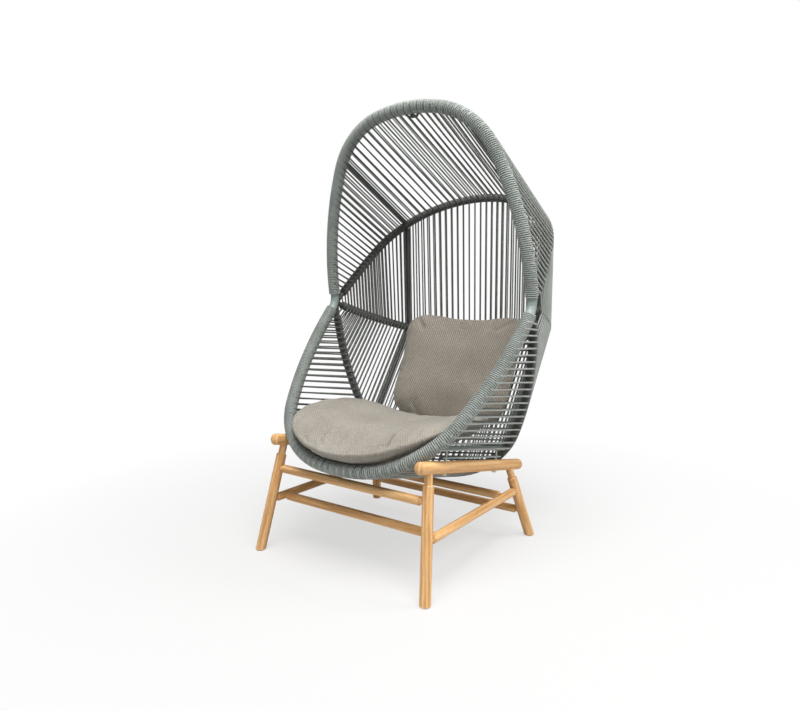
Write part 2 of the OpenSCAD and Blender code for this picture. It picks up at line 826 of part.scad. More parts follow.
module front_upper_cross_rail() {
    color(teak_color) across(front_upper_end, leg_d / 2);
}

module front_lower_cross_rail() {
    color(teak_color) across(front_lower_end, bar_d / 2);
}

module middle_cross_rail() {
    color(teak_color) across(middle_cross_end, bar_d / 2);
}

module rear_cross_rail() {
    color(teak_color) across(rear_cross_end, leg_d / 2);
}

module foot_glides() {
    color(glide_color) both_sides() for (p = [on_front_leg(glide_h), on_rear_leg(glide_h)])
        translate([p.x, p.y, 0]) cylinder(h = glide_h, d = glide_d);
}

// A cushion is a closed mesh of rings, round over its crown and drawn in at its edge. Its
// outline is [half width, half depth, how square it is, how far the corners of its first
// half stand out, and those of its second half].
rings = 17;
around = 34;
edge_round = 0.72;
crown_round = 0.9;
function signed_pow(v, e) = sign(v) * pow(abs(v), e);
function ring_points(outline, t, curl, k) =
    let (tip = -90 + 180 * k / (rings + 1), spread = pow(cos(tip), edge_round),
         rise = signed_pow(sin(tip), crown_round) * t / 2)
    [for (i = [0 : around - 1])
        let (a = 360 * i / around, ear = a < 180 ? outline[3] : outline[4],
             out = spread * (1 + ear * pow(sin(2 * a), 2)),
             x = out * signed_pow(cos(a), outline[2]),
             y = out * signed_pow(sin(a), outline[2]))
        [outline[0] * x, outline[1] * y, rise + curl * x * x]];
module cushion_form(outline, t, curl, inset) {
    inner = [outline[0] - inset, outline[1] - inset, outline[2], outline[3], outline[4]];
    thickness = t - 2 * inset;
    points = concat([for (k = [1 : rings]) each ring_points(inner, thickness, curl, k)],
                    [[0, 0, -thickness / 2], [0, 0, thickness / 2]]);
    low = rings * around;
    high = low + 1;
    last = (rings - 1) * around;
    walls = [for (k = [0 : rings - 2]) for (i = [0 : around - 1])
                 let (j = (i + 1) % around, a = k * around + i, b = k * around + j)
                     each [[a, a + around, b], [b, a + around, b + around]]];
    ends = [for (i = [0 : around - 1])
                let (j = (i + 1) % around) each [[low, i, j], [high, last + j, last + i]]];
    polyhedron(points = points, faces = concat(walls, ends));
}

module seat_cushion_form(inset) {
    translate([0, joint_y - seat_cushion_ahead, seat_cushion_z])
        rotate([-seat_cushion_tip, 0, 0])
            cushion_form([seat_cushion_half_w, seat_cushion_half_d, seat_cushion_square,
                          seat_cushion_ear, seat_cushion_ear],
                         seat_cushion_t, seat_cushion_curl, inset);
}

module back_cushion_form(inset) {
    translate([0, joint_y + back_cushion_behind, back_cushion_z])
        rotate([90 - back_cushion_recline, 0, 0])
            cushion_form([back_cushion_half_w, back_cushion_h / 2, back_cushion_square,
                          back_cushion_ear, 0],
                         back_cushion_t, back_cushion_curl, inset);
}

module seat_cushion_cover() {
    color(cover_color) difference() {
        seat_cushion_form(0);
        seat_cushion_form(cover_t);
    }
}

module seat_cushion_core() {
    color(core_color) seat_cushion_form(cover_t + core_gap);
}

module back_cushion_cover() {
    color(cover_color) difference() {
        back_cushion_form(0);
        back_cushion_form(cover_t);
    }
}

module back_cushion_core() {
    color(core_color) back_cushion_form(cover_t + core_gap);
}

hood_tube();
seat_rim_tube();
upper_back_tube();
belt_tube();
seat_hoop_tube();
hood_strut(1);  // hood_strut_left
hood_strut(-1);  // hood_strut_right
back_strut(1);  // back_strut_left
back_strut(-1);  // back_strut_right
lower_back_strut(1);  // lower_back_strut_left
lower_back_strut(-1);  // lower_back_strut_right
seat_tube(1);  // seat_tube_left
seat_tube(-1);  // seat_tube_right
crown_plate();
hood_wrap();
seat_rim_wrap();
upper_back_wrap();
belt_wrap();
seat_hoop_wrap();
hood_ropes();
upper_back_ropes();
lower_back_ropes();
seat_ropes();
rail(1);  // rail_left
rail(-1);  // rail_right
rail_strap(1);  // rail_strap_left
rail_strap(-1);  // rail_strap_right
rail_studs();
rail_nuts();
front_leg(1);  // front_leg_left
front_leg(-1);  // front_leg_right
rear_leg(1);  // rear_leg_left
rear_leg(-1);  // rear_leg_right
side_stretcher(1);  // side_stretcher_left
side_stretcher(-1);  // side_stretcher_right
front_upper_cross_rail();
front_lower_cross_rail();
middle_cross_rail();
rear_cross_rail();
foot_glides();
seat_cushion_cover();
seat_cushion_core();
back_cushion_cover();
back_cushion_core();
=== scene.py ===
"""Looks of the hooded rope lounge chair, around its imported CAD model."""
import math

import bpy
import numpy as np
from mathutils import Matrix, Vector


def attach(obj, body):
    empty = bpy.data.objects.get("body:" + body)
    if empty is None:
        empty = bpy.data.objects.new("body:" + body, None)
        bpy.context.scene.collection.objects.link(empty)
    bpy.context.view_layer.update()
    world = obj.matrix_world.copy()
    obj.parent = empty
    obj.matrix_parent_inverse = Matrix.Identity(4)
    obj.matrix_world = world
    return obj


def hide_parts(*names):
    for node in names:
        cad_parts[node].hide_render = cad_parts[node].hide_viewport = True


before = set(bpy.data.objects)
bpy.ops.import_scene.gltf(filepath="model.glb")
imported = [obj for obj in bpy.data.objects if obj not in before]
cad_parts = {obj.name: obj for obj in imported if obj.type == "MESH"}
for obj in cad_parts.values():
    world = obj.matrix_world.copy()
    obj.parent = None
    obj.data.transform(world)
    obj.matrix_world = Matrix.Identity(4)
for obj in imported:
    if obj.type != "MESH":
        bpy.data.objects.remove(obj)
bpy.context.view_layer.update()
scene = bpy.context.scene
scene.view_settings.view_transform = "Standard"

# ---------------------------------------------------------------- camera
CAMERA_PLACE = (1.3321, -1.9137, 0.9221)
CAMERA_AZIMUTH, CAMERA_DOWN, CAMERA_ROLL = (math.radians(a) for a in (36.4, 6.8, -0.3))
CAMERA_LENS = 29.79


def add_camera():
    flat = math.cos(CAMERA_DOWN)
    back = Vector((math.sin(CAMERA_AZIMUTH) * flat, -math.cos(CAMERA_AZIMUTH) * flat,
                   math.sin(CAMERA_DOWN)))
    level = Vector((math.cos(CAMERA_AZIMUTH), math.sin(CAMERA_AZIMUTH), 0))
    rise = back.cross(level)
    c, s = math.cos(CAMERA_ROLL), math.sin(CAMERA_ROLL)
    right, up = level * c + rise * s, rise * c - level * s
    camera = bpy.data.objects.new("camera", bpy.data.cameras.new("camera"))
    camera.data.lens = CAMERA_LENS
    camera.matrix_world = Matrix((right, up, back)).transposed().to_4x4()
    camera.location = CAMERA_PLACE
    scene.collection.objects.link(camera)
    scene.camera = camera


add_camera()

# ---------------------------------------------------------------- hoops
JOINT = np.array([0, 0.0374809, 0.822])
JOINT_HALF = 0.419
STUB = 0.030
ROPE_R = 0.003


class Hoop:
    """A flat hoop from one side joint to the other: a straight stub, a side, a corner and
    half a crown on each half. s runs from the left joint to the right one."""

    def __init__(self, tilt, lean, side_r, side_turn, corner_r, corner_turn, tube_r):
        self.tube_r = tube_r
        t = math.radians(tilt)
        self.out = np.array([0, math.sin(t), math.cos(t)])
        self.square = np.array([0, -math.cos(t), math.sin(t)])
        a = math.radians(lean)
        place = np.array([JOINT_HALF - STUB * math.sin(a), STUB * math.cos(a)])
        self.lean, self.arcs, at = a, [], STUB
        for r, turn in ((side_r, math.radians(side_turn)),
                        (corner_r, math.radians(corner_turn)), (None, None)):
            if r is None:
                r, turn = place[0] / math.cos(a), math.pi / 2 - a
            centre = place - r * np.array([math.cos(a), math.sin(a)])
            self.arcs.append((centre, r, a, at))
            a += turn
            at += r * turn
            place = centre + r * np.array([math.cos(a), math.sin(a)])
        self.half = at

    def flat(self, s):
        """x, distance out and heading at distances s up to the middle, in the hoop's plane."""
        x = JOINT_HALF - s * math.sin(self.lean)
        out = s * math.cos(self.lean)
        heading = np.full_like(s, self.lean)
        for centre, r, a, at in self.arcs:
            past = s > at
            turn = a + (s - at) / r
            x = np.where(past, centre[0] + r * np.cos(turn), x)
            out = np.where(past, centre[1] + r * np.sin(turn), out)
            heading = np.where(past, turn, heading)
        return x, out, heading

    def at(self, s):
        """Points, headings along the hoop and normals away from its inside, at distances s."""
        s = np.asarray(s, float)
        side = np.where(s <= self.half, 1.0, -1.0)
        x, out, a = self.flat(np.where(s <= self.half, s, 2 * self.half - s))
        across = np.array([1.0, 0, 0])
        point = JOINT + (side * x)[..., None] * across + out[..., None] * self.out
        along = -np.sin(a)[..., None] * across + (side * np.cos(a))[..., None] * self.out
        away = (side * np.cos(a))[..., None] * across + np.sin(a)[..., None] * self.out
        return point, along, away

    def distance(self, x):
        """Distance s on the left half at which the hoop passes x."""
        s = np.linspace(0, self.half, 4001)
        return float(np.interp(-x, -self.flat(s)[0], s))


HOOD = Hoop(-8.6, 0, 1.120, 24.4, 0.280, 53.0, 0.016)
UPPER = Hoop(45.4, 5, 2.200, 6.9, 0.355, 49.9, 0.010)
BELT = Hoop(109.1, 4, 0.680, 21.7, 0.240, 40.2, 0.010)
SEAT = Hoop(171.8, 0, 1.000, 24.0, 0.280, 18.0, 0.010)
RIM = Hoop(-136.2, 0, 1.270, 19.9, 0.320, 61.0, 0.016)
STRUT_X = 0.300
RAIL_X = 0.2955
RAIL_SLOPE = math.radians(12.0537)


# ---------------------------------------------------------------- meshes
def new_object(name, verts, faces, uvs=None, body="frame"):
    """A smooth mesh piece. verts and quads or triangles are arrays; uvs is one per loop."""
    mesh = bpy.data.meshes.new(name)
    mesh.from_pydata(verts.tolist(), [], faces)
    mesh.polygons.foreach_set("use_smooth", np.ones(len(mesh.polygons), bool))
    if uvs is not None:
        layer = mesh.uv_layers.new(name="along")
        layer.data.foreach_set("uv", np.asarray(uvs, np.float32).ravel())
    mesh.validate()
    piece = bpy.data.objects.new(name, mesh)
    scene.collection.objects.link(piece)
    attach(piece, body)
    return piece


def sweep(name, paths, normals, r, sides, materials, replaced, shades=None):
    """Round tubes along paths (tubes, points, 3), with normals that start their rings.
    shades holds the place of each tube's material in materials."""
    step = np.gradient(paths, axis=1)
    along = step / np.linalg.norm(step, axis=2, keepdims=True)
    e1 = normals - (normals * along).sum(2, keepdims=True) * along
    e1 /= np.linalg.norm(e1, axis=2, keepdims=True)
    e2 = np.cross(along, e1)
    turn = np.linspace(0, 2 * math.pi, sides, endpoint=False)
    ring = e1[:, :, None] * np.cos(turn)[:, None] + e2[:, :, None] * np.sin(turn)[:, None]
    verts = (paths[:, :, None] + r * ring).reshape(-1, 3)
    count, points = paths.shape[:2]
    gone = np.zeros((count, points))
    gone[:, 1:] = np.cumsum(np.linalg.norm(np.diff(paths, axis=1), axis=2), axis=1)
    k, i, j = np.meshgrid(np.arange(count), np.arange(points - 1), np.arange(sides),
                          indexing="ij")
    k, i, j = k.ravel(), i.ravel(), j.ravel()
    first = (k * points + i) * sides
    nxt = (j + 1) % sides
    quads = np.stack([first + j, first + nxt, first + sides + nxt, first + sides + j], 1)
    u0, u1 = gone[k, i], gone[k, i + 1]
    v0, v1 = j / sides, (j + 1) / sides
    uvs = np.stack([np.stack([u0, v0], 1), np.stack([u0, v1], 1),
                    np.stack([u1, v1], 1), np.stack([u1, v0], 1)], 1).reshape(-1, 2)
    faces = quads.tolist()
    start = np.arange(count) * points * sides
    ends = start + (points - 1) * sides
    faces += [[int(b + sides - 1 - q) for q in range(sides)] for b in start]
    faces += [[int(b + q) for q in range(sides)] for b in ends]
    cap = np.zeros((2 * count * sides, 2))
    piece = new_object(name, verts, faces, np.vstack([uvs, cap]))
    for material in materials:
        piece.data.materials.append(material)
    if shades is not None:
        which = np.concatenate([np.repeat(shades, (points - 1) * sides), shades, shades])
        piece.data.polygons.foreach_set("material_index", which.astype(np.int32))
    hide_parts(*replaced)
    return piece


def wrap_turns(name, hoop, start, pitch, material):
    """A rope wound round a hoop's tube from start to the same place on its other side."""
    length = 2 * (hoop.half - start)
    turns = round(length / pitch)
    t = np.linspace(0, 1, turns * 16 + 1)
    point, _, away = hoop.at(start + t * length)
    angle = 2 * math.pi * turns * t
    radial = np.cos(angle)[:, None] * away + np.sin(angle)[:, None] * hoop.square
    path = point + radial * (hoop.tube_r + ROPE_R)
    node = name.replace("_turns", "_wrap")
    return sweep(name, path[None], radial[None], ROPE_R, 8, [material], [node])


def strung_path(h1, s1, h2, s2, face):
    """A rope across a panel, tangent to both hoops, which curls round each of them."""
    a0, along1, _ = h1.at(s1)
    b0, along2, _ = h2.at(s2)
    n = np.cross(b0 - a0, along1 + along2)
    n *= np.sign(n @ ((a0 + b0) / 2 - JOINT)) * face / np.linalg.norm(n)
    r1, r2 = h1.tube_r + ROPE_R, h2.tube_r + ROPE_R
    a, b = a0 + n * r1, b0 + n * r2
    way = (b - a) / np.linalg.norm(b - a)
    points, normals = [], []
    for angle in np.radians([100, 80, 60, 45, 30, 15]):
        side = np.cos(angle) * n - np.sin(angle) * way
        points.append(a0 + side * r1)
        normals.append(side)
    for t in (0, 0.03, 0.25, 0.5, 0.75, 0.97, 1):
        points.append(a + (b - a) * t)
        normals.append(n)
    for angle in np.radians([15, 30, 45, 60, 80, 100]):
        side = np.cos(angle) * n + np.sin(angle) * way
        points.append(b0 + side * r2)
        normals.append(side)
    return points, normals


# Strung ropes start this far along their hoops, and these many lie beside and between struts.
STRING_FROM = 0.048
SIDE_ROPES, MIDDLE_ROPES = 20, 13


def panel_ropes(name, h1, x1, h2, x2, fan, left_out, node):
    """The strung ropes of a panel: outer ones, and inner ones half a step along."""
    s1, s2 = h1.distance(x1), h2.distance(x2)
    places = []
    for face, offset, skip in ((1, 0.5, left_out), (-1, 0.0, 0)):
        for i in range(1, SIDE_ROPES + 1):
            t = (i - offset) / SIDE_ROPES
            places.append((STRING_FROM + (s1 - STRING_FROM) * t,
                           STRING_FROM + (s2 - STRING_FROM) * t ** fan, face))
        for i in range(1 + skip, MIDDLE_ROPES + 1):
            t = (i - offset) / MIDDLE_ROPES
            places.append((s1 + (h1.half - s1) * t, s2 + (h2.half - s2) * t, face))
    paths, normals, shades = [], [], []
    for p1, p2, face in places:
        for mirrored in (False, True):
            if mirrored and p1 > h1.half - 1e-6:
                continue
            q1, q2 = (2 * h1.half - p1, 2 * h2.half - p2) if mirrored else (p1, p2)
            path, normal = strung_path(h1, np.array(q1), h2, np.array(q2), face)
            paths.append(path)
            normals.append(normal)
            # Inner ropes take the second material, a darker copy of the rope that paints in
            # the shade inside the basket.
            shades.append(0 if face > 0 else 1)
    return sweep(name, np.array(paths), np.array(normals), ROPE_R, 8, [ROPE, ROPE_PAINTED_SHADE],
                 [node], np.array(shades))


# ---------------------------------------------------------------- materials
def shader(name, rough, metallic=0.0, **sockets):
    """A material with a Principled shader, its node tree and the shader node."""
    material = bpy.data.materials.new(name)
    material.use_nodes = True
    tree = material.node_tree
    bsdf = tree.nodes["Principled BSDF"]
    bsdf.inputs["Roughness"].default_value = rough
    bsdf.inputs["Metallic"].default_value = metallic
    for socket, value in sockets.items():
        bsdf.inputs[socket.replace("_", " ")].default_value = value
    return material, tree, bsdf


def node(tree, kind, inputs=None, **props):
    n = tree.nodes.new("ShaderNode" + kind)
    for k, v in props.items():
        setattr(n, k, v)
    for k, v in (inputs or {}).items():
        if isinstance(v, bpy.types.NodeSocket):
            tree.links.new(v, n.inputs[k])
        else:
            n.inputs[k].default_value = v
    return n


def ramp(tree, fac, stops):
    n = node(tree, "ValToRGB", {"Fac": fac})
    elements = n.color_ramp.elements
    while len(elements) < len(stops):
        elements.new(0.5)
    for e, (place, color) in zip(elements, stops):
        e.position = place
        e.color = (*color, 1)
    return n.outputs["Color"]


def bump(tree, bsdf, height, strength, distance):
    n = node(tree, "Bump", {"Height": height, "Strength": strength, "Distance": distance})
    tree.links.new(n.outputs["Normal"], bsdf.inputs["Normal"])


def object_coords(tree):
    return node(tree, "TexCoord").outputs["Object"]


def coat_material(name, color, rough):
    """Powder coat: a fine orange peel and a faint drift in its colour."""
    material, tree, bsdf = shader(name, rough)
    at = object_coords(tree)
    drift = node(tree, "TexNoise", {"Vector": at, "Scale": 9.0, "Detail": 3.0})
    low = tuple(c * 0.88 for c in color)
    high = tuple(min(1, c * 1.10) for c in color)
    tree.links.new(ramp(tree, drift.outputs["Fac"], [(0.3, low), (0.7, high)]),
                   bsdf.inputs["Base Color"])
    peel = node(tree, "TexNoise", {"Vector": at, "Scale": 900.0, "Detail": 2.0})
    bump(tree, bsdf, peel.outputs["Fac"], 0.25, 0.0004)
    return material


def rope_material(name, color, wound=False):
    """Round braided rope. Its UVs run along it in metres and once around it from its outer
    side. Wound rope has painted shade down its sides, where the turns press together."""
    material, tree, bsdf = shader(name, 0.55)
    bsdf.inputs["Sheen Weight"].default_value = 0.15
    uv = node(tree, "TexCoord").outputs["UV"]
    heights = []
    for lean in (1, -1):
        apart = node(tree, "SeparateXYZ", {"Vector": uv})
        along = node(tree, "Math", {0: apart.outputs["X"], 1: 230.0}, operation="MULTIPLY")
        around = node(tree, "Math", {0: apart.outputs["Y"], 1: 4.0 * lean},
                      operation="MULTIPLY")
        phase = node(tree, "Math", {0: along.outputs[0], 1: around.outputs[0]},
                     operation="ADD")
        full = node(tree, "Math", {0: phase.outputs[0], 1: 2 * math.pi},
                    operation="MULTIPLY")
        heights.append(node(tree, "Math", {0: full.outputs[0]}, operation="SINE"))
    weave = node(tree, "Math", {0: heights[0].outputs[0], 1: heights[1].outputs[0]},
                 operation="MAXIMUM")
    at = object_coords(tree)
    drift = node(tree, "TexNoise", {"Vector": at, "Scale": 14.0, "Detail": 4.0})
    mixed = node(tree, "Math", {0: weave.outputs[0], 1: 0.03 if wound else 0.10,
                                2: drift.outputs["Fac"]},
                 operation="MULTIPLY_ADD")
    low = tuple(c * 0.84 for c in color)
    high = tuple(min(1, c * 1.16) for c in color)
    color = ramp(tree, mixed.outputs[0], [(0.3, low), (0.75, high)])
    # Painted shade: each turn of wound rope is darkened down its sides, in place of the shadow
    # between neighbouring turns.
    if wound:
        apart = node(tree, "SeparateXYZ", {"Vector": uv})
        turn = node(tree, "Math", {0: apart.outputs["Y"], 1: 2 * math.pi},
                    operation="MULTIPLY")
        outer = node(tree, "Math", {0: turn.outputs[0]}, operation="COSINE")
        painted_groove_shade = ramp(tree, outer.outputs[0], [(0.20, (0.12, 0.12, 0.12)),
                                               (0.62, (1, 1, 1))])
        color = node(tree, "Mix", {"Factor": 1.0, 6: color, 7: painted_groove_shade}, data_type="RGBA",
                     blend_type="MULTIPLY").outputs[2]
    tree.links.new(color, bsdf.inputs["Base Color"])
    bump(tree, bsdf, weave.outputs[0], 0.1 if wound else 0.35, 0.0003)
    return material


def wood_material(name, along):
    """Oiled teak with its grain along a direction."""
    material, tree, bsdf = shader(name, 0.5)
    spin = Vector(along).to_track_quat("X", "Z").inverted().to_euler()
    at = object_coords(tree)
    turned = node(tree, "Mapping", {"Vector": at, "Rotation": spin})
    grain_at = node(tree, "Mapping", {"Vector": turned.outputs[0],
                                      "Scale": (1.6, 24.0, 24.0)})
    grain = node(tree, "TexNoise", {"Vector": grain_at.outputs[0], "Scale": 4.0,
                                    "Detail": 7.0, "Roughness": 0.6, "Distortion": 0.6})
    rings_at = node(tree, "Mapping", {"Vector": turned.outputs[0],
                                      "Scale": (0.5, 9.0, 9.0)})
    rings = node(tree, "TexWave", {"Vector": rings_at.outputs[0], "Scale": 3.0,
                                   "Distortion": 5.0, "Detail": 3.0, "Detail Scale": 1.5},
                 wave_type="BANDS", bands_direction="Y")
    both = node(tree, "Math", {0: rings.outputs["Fac"], 1: 0.30, 2: grain.outputs["Fac"]},
                operation="MULTIPLY_ADD")
    color = ramp(tree, both.outputs[0], [(0.20, (0.46, 0.215, 0.068)),
                                         (0.55, (0.69, 0.375, 0.142)),
                                         (0.95, (0.90, 0.58, 0.28))])
    pores_at = node(tree, "Mapping", {"Vector": turned.outputs[0],
                                      "Scale": (30.0, 900.0, 900.0)})
    pores = node(tree, "TexNoise", {"Vector": pores_at.outputs[0], "Scale": 1.0,
                                    "Detail": 1.0})
    dark = ramp(tree, pores.outputs["Fac"], [(0.30, (0.66, 0.58, 0.50)),
                                             (0.42, (1, 1, 1))])
    mixed = node(tree, "Mix", {"Factor": 0.6, 6: color, 7: dark}, data_type="RGBA",
                 blend_type="MULTIPLY")
    tree.links.new(mixed.outputs[2], bsdf.inputs["Base Color"])
    bump(tree, bsdf, both.outputs[0], 0.18, 0.0008)
    return material


# The twill's ribs and the cuts across them, in waves per metre across and along the cloth.
TWILL = ((112.0, 84.0), (-96.0, 128.0))


def weave_material(name, dark, light, tilt, rib):
    """Coarse twill on a plane tilted about x: slanting ribs cut into short dashes. rib is
    how strongly they show."""
    material, tree, bsdf = shader(name, 0.9)
    bsdf.inputs["Sheen Weight"].default_value = 0.2
    at = object_coords(tree)
    turned = node(tree, "Mapping", {"Vector": at, "Rotation": (math.radians(tilt), 0, 0)})
    wobble = node(tree, "TexNoise", {"Vector": turned.outputs[0], "Scale": 45.0,
                                     "Detail": 2.0})
    shift = node(tree, "VectorMath", {0: wobble.outputs["Color"], 1: (0.002,) * 3},
                 operation="MULTIPLY")
    moved = node(tree, "VectorMath", {0: turned.outputs[0], 1: shift.outputs[0]},
                 operation="ADD")
    apart = node(tree, "SeparateXYZ", {"Vector": moved.outputs[0]})
    waves = []
    for kx, ky in TWILL:
        first = node(tree, "Math", {0: apart.outputs["X"], 1: kx * 2 * math.pi},
                     operation="MULTIPLY")
        full = node(tree, "Math", {0: apart.outputs["Y"], 1: ky * 2 * math.pi,
                                   2: first.outputs[0]}, operation="MULTIPLY_ADD")
        waves.append(node(tree, "Math", {0: full.outputs[0]}, operation="SINE"))
    weave = node(tree, "Math", {0: waves[1].outputs[0], 1: 0.5, 2: waves[0].outputs[0]},
                 operation="MULTIPLY_ADD")
    fuzz = node(tree, "TexNoise", {"Vector": at, "Scale": 330.0, "Detail": 4.0,
                                   "Roughness": 0.65})
    patch = node(tree, "TexNoise", {"Vector": at, "Scale": 9.0, "Detail": 3.0})
    a = node(tree, "Math", {0: weave.outputs[0], 1: rib, 2: fuzz.outputs["Fac"]},
             operation="MULTIPLY_ADD")
    b = node(tree, "Math", {0: patch.outputs["Fac"], 1: 0.25, 2: a.outputs[0]},
             operation="MULTIPLY_ADD")
    tree.links.new(ramp(tree, b.outputs[0], [(0.35, dark), (0.90, light)]),
                   bsdf.inputs["Base Color"])
    height = node(tree, "Math", {0: weave.outputs[0], 1: 4 * rib, 2: fuzz.outputs["Fac"]},
                  operation="MULTIPLY_ADD")
    bump(tree, bsdf, height.outputs[0], 0.5, 0.0012)
    return material


def steel_material(name):
    material, tree, bsdf = shader(name, 0.32, metallic=1.0)
    at = object_coords(tree)
    brushed = node(tree, "Mapping", {"Vector": at, "Scale": (400.0, 400.0, 30.0)})
    lines = node(tree, "TexNoise", {"Vector": brushed.outputs[0], "Scale": 1.0,
                                    "Detail": 3.0})
    tree.links.new(ramp(tree, lines.outputs["Fac"], [(0.3, (0.46, 0.46, 0.45)),
                                                     (0.7, (0.66, 0.66, 0.65))]),
                   bsdf.inputs["Base Color"])
    bump(tree, bsdf, lines.outputs["Fac"], 0.15, 0.0002)
    return material


def plastic_material(name, color):
    material, tree, bsdf = shader(name, 0.5)
    at = object_coords(tree)
    grain = node(tree, "TexNoise", {"Vector": at, "Scale": 700.0, "Detail": 2.0})
    tree.links.new(ramp(tree, grain.outputs["Fac"],
                        [(0.3, tuple(c * 0.9 for c in color)), (0.7, color)]),
                   bsdf.inputs["Base Color"])
    bump(tree, bsdf, grain.outputs["Fac"], 0.2, 0.0003)
    return material


COAT = coat_material("coat_light", (0.275, 0.335, 0.315), 0.36)
# A near-black copy of the frame coat as painted shade, for the tubes, struts and plate inside
# the basket.
COAT_PAINTED_SHADE = coat_material("coat_painted_shade", (0.065, 0.070, 0.064), 0.45)
ROPE = rope_material("rope_light", (0.330, 0.350, 0.322))
# Wound rope, with painted shade in the grooves between its turns.
ROPE_WOUND = rope_material("rope_wound", (0.285, 0.312, 0.290), wound=True)
# A much darker copy of the same rope as painted shade, for the inner strung ropes and the
# wraps inside the basket.
ROPE_PAINTED_SHADE = rope_material("rope_painted_shade", (0.085, 0.090, 0.083))


def dress(name, material):
    """Gives a CAD node that stays in view its material."""
    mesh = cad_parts[name].data
    mesh.materials.clear()
    mesh.materials.append(material)
    mesh.polygons.foreach_set("material_index", np.zeros(len(mesh.polygons), np.int32))


# ---------------------------------------------------------------- basket
def elbow_half(hoop, other):
    """Points from the middle of the left side elbow to the start of a hoop."""
    joint = JOINT + np.array([JOINT_HALF, 0, 0])
    middle = hoop.out + other.out
    middle /= np.linalg.norm(middle)
    half = math.acos(float(hoop.out @ middle))
    r = STUB * math.tan(half)
    centre = joint + middle * STUB / math.cos(half)
    start = -middle
    end = (joint + hoop.out * STUB - centre) / r
    gap = math.acos(float(start @ end))
    t = np.linspace(0, 1, 9)[:-1, None]
    turned = (np.sin((1 - t) * gap) * start + np.sin(t * gap) * end) / math.sin(gap)
    return centre + r * turned


def front_tube(name, hoop, other, node_name):
    first = elbow_half(hoop, other)
    point, _, _ = hoop.at(np.linspace(STUB, 2 * hoop.half - STUB, 161))
    last = first[::-1] * [-1, 1, 1]
    path = np.vstack([first, point, last])
    normal = np.tile(hoop.square, (len(path), 1))
    return sweep(name, path[None], normal[None], hoop.tube_r, 32, [COAT],
                 [node_name])


# Where the windings start along their hoops, and the step from turn to turn.
FRONT_WRAP_FROM, BACK_WRAP_FROM, BELT_WRAP_FROM = 0.0335, 0.0512, 0.0372
FRONT_PITCH, BACK_PITCH = 0.0066, 0.0064
front_tube("hood_tube_skin", HOOD, RIM, "hood_tube")
front_tube("seat_rim_tube_skin", RIM, HOOD, "seat_rim_tube")
wrap_turns("hood_turns", HOOD, FRONT_WRAP_FROM, FRONT_PITCH, ROPE_WOUND)
wrap_turns("seat_rim_turns", RIM, FRONT_WRAP_FROM, FRONT_PITCH, ROPE_WOUND)
# The back hoops' wraps take the rope's darker copy as painted shade.
wrap_turns("upper_back_turns", UPPER, BACK_WRAP_FROM, BACK_PITCH, ROPE_PAINTED_SHADE)
wrap_turns("belt_turns", BELT, BELT_WRAP_FROM, BACK_PITCH, ROPE_PAINTED_SHADE)
wrap_turns("seat_hoop_turns", SEAT, BACK_WRAP_FROM, BACK_PITCH, ROPE_PAINTED_SHADE)
panel_ropes("hood_strings", HOOD, STRUT_X, UPPER, STRUT_X, 1, 0, "hood_ropes")
panel_ropes("upper_back_strings", UPPER, STRUT_X, BELT, STRUT_X, 1, 0, "upper_back_ropes")
panel_ropes("lower_back_strings", BELT, STRUT_X, SEAT, STRUT_X, 1, 0, "lower_back_ropes")
panel_ropes("seat_strings", RIM, RAIL_X, SEAT, RAIL_X, 1.15, 2, "seat_ropes")
# The back hoops, struts and crown plate inside the basket take the coat's darker copy as
# painted shade.
for name in ("upper_back_tube", "belt_tube", "seat_hoop_tube", "hood_strut_left",
             "hood_strut_right", "back_strut_left", "back_strut_right",
             "lower_back_strut_left", "lower_back_strut_right", "crown_plate"):
    dress(name, COAT_PAINTED_SHADE)
for name in ("seat_tube_left", "seat_tube_right", "rail_strap_left", "rail_strap_right"):
    dress(name, COAT)

# ---------------------------------------------------------------- teak base
RAIL_TURN = (0, math.cos(RAIL_SLOPE), -math.sin(RAIL_SLOPE))
TEAK_ALONG = {"rail_left": RAIL_TURN, "rail_right": RAIL_TURN}
for side, name in ((1, "left"), (-1, "right")):
    TEAK_ALONG["front_leg_" + name] = (side * 0.10, -0.16, -1)
    TEAK_ALONG["rear_leg_" + name] = (side * 0.17, 0.16, -1)
    TEAK_ALONG["side_stretcher_" + name] = (0, 1, 0)
for name in ("front_upper_cross_rail", "front_lower_cross_rail", "middle_cross_rail",
             "rear_cross_rail"):
    TEAK_ALONG[name] = (1, 0, 0)
for name, along in TEAK_ALONG.items():
    dress(name, wood_material("teak_" + name, along))
dress("rail_studs", steel_material("stud_steel"))
PALE = plastic_material("pale_plastic", (0.74, 0.68, 0.58))
dress("rail_nuts", PALE)
dress("foot_glides", PALE)

# ---------------------------------------------------------------- cushions
SEAT_WEAVE = weave_material("seat_weave", (0.140, 0.120, 0.096), (0.45, 0.415, 0.360), 0,
                            0.05)
BACK_WEAVE = weave_material("back_weave", (0.140, 0.118, 0.090), (0.47, 0.425, 0.355), -64,
                            0.17)
RINGS, AROUND = 60, 160


def signed_pow(v, e):
    return np.sign(v) * np.abs(v) ** e


